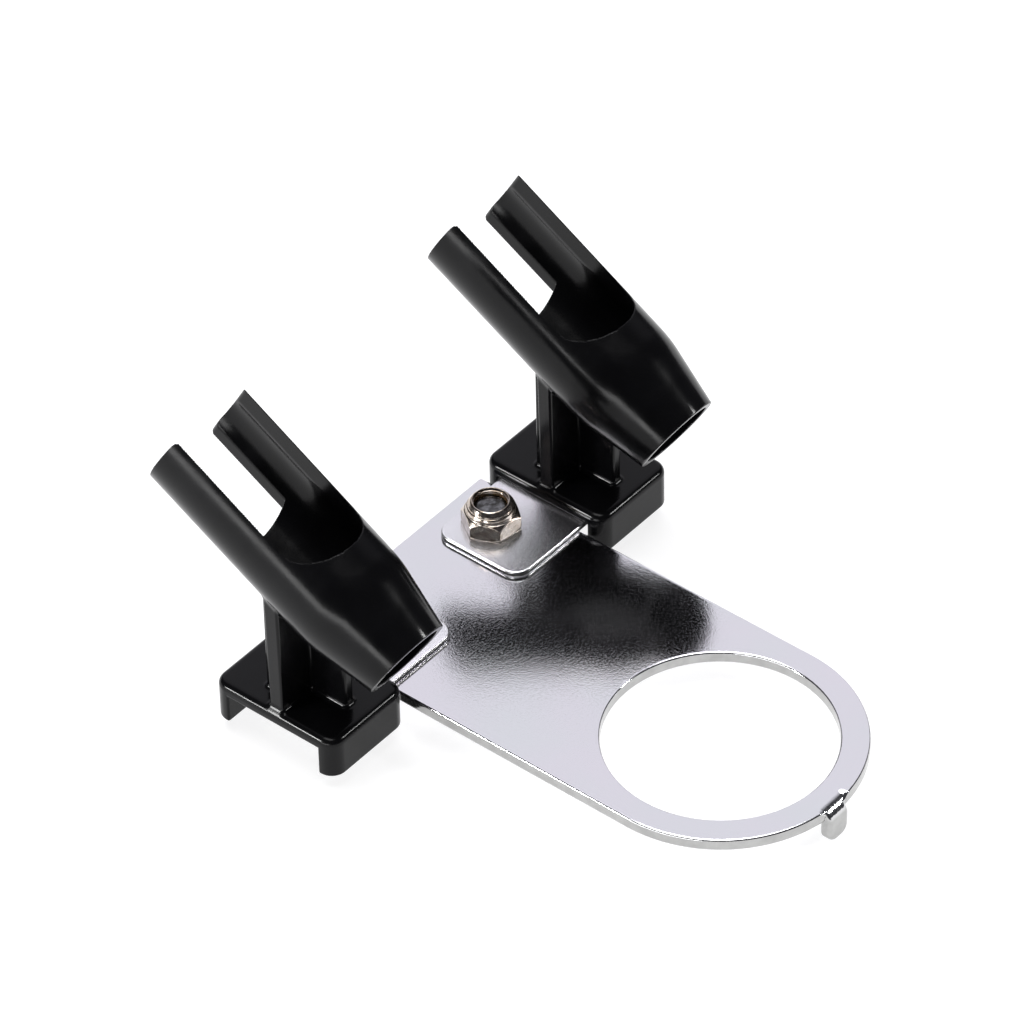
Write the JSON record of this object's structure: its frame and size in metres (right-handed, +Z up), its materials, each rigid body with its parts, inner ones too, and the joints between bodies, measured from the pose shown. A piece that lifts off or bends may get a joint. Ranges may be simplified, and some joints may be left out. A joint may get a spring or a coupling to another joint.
{
  "type": "airbrush holder stand",
  "caption": "Flat ringed steel bracket with two pivoting arms, each carrying a black plastic pillar with a slotted, tapered airbrush tube tilted upwards.",
  "frame": {"origin": "centre of the ring hole, on the plate's underside", "axes": "+Z up out of the plate's top face, +Y from the ring towards the two holders, +X towards the right-hand arm"},
  "size_m": [0.0792, 0.0959, 0.0515],
  "materials": {
    "chromed_plate": "mirror chrome plating on steel with a slight ripple",
    "chromed_arm": "mirror chrome plating on thin steel",
    "black_plastic": "glossy moulded black",
    "zinc_nut": "yellow-tinted zinc plating",
    "bolt_steel": "zinc-plated steel",
    "nylon": "natural nylon"
  },
  "bodies": {
    "plate": {"mounting_plate": "chromed_plate", "left_pivot_bolt": "bolt_steel", "right_pivot_bolt": "bolt_steel", "left_lock_nut": "zinc_nut", "right_lock_nut": "zinc_nut", "left_nut_insert": "nylon", "right_nut_insert": "nylon"},
    "left_swing_arm": {"left_arm": "chromed_arm", "left_holder": "black_plastic", "left_holder_screw": "bolt_steel"},
    "right_swing_arm": {"right_arm": "chromed_arm", "right_holder": "black_plastic", "right_holder_screw": "bolt_steel"}
  },
  "joints": [
    {"name": "left_arm_pivot", "type": "hinge", "parent": "plate", "child": "left_swing_arm", "pos_m": [-0.0137, 0.0538, 0.0025], "axis": [0, 0, 1], "range_deg": [-4.5, 2.5]},
    {"name": "right_arm_pivot", "type": "hinge", "parent": "plate", "child": "right_swing_arm", "pos_m": [0.0137, 0.0538, 0.0025], "axis": [0, 0, 1], "range_deg": [-2.5, 4.5]}
  ]
}
